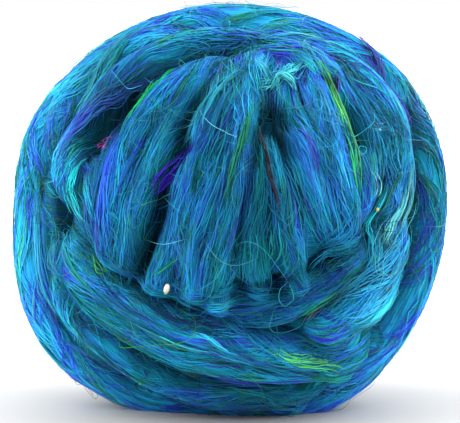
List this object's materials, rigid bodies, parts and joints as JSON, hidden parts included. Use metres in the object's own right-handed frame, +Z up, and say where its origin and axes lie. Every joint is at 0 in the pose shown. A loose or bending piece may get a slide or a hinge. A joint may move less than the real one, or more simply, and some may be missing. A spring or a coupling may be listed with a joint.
{
  "type": "roving ball",
  "caption": "Round ball of soft silk roving wound in broad overlapping turns, with blue and teal locks, resting on a small flat spot.",
  "frame": {"origin": "middle of the ball's outline seen from above, on the flat spot it rests on", "axes": "+Z up, the pictured face towards -Y, +X along the ball's width"},
  "size_m": [0.1256, 0.1115, 0.1173],
  "materials": {
    "silk_roving": "soft glossy combed silk fibre in mixed blues and teals"
  },
  "bodies": {
    "root": {"roving_ball": "silk_roving"}
  },
  "joints": []
}
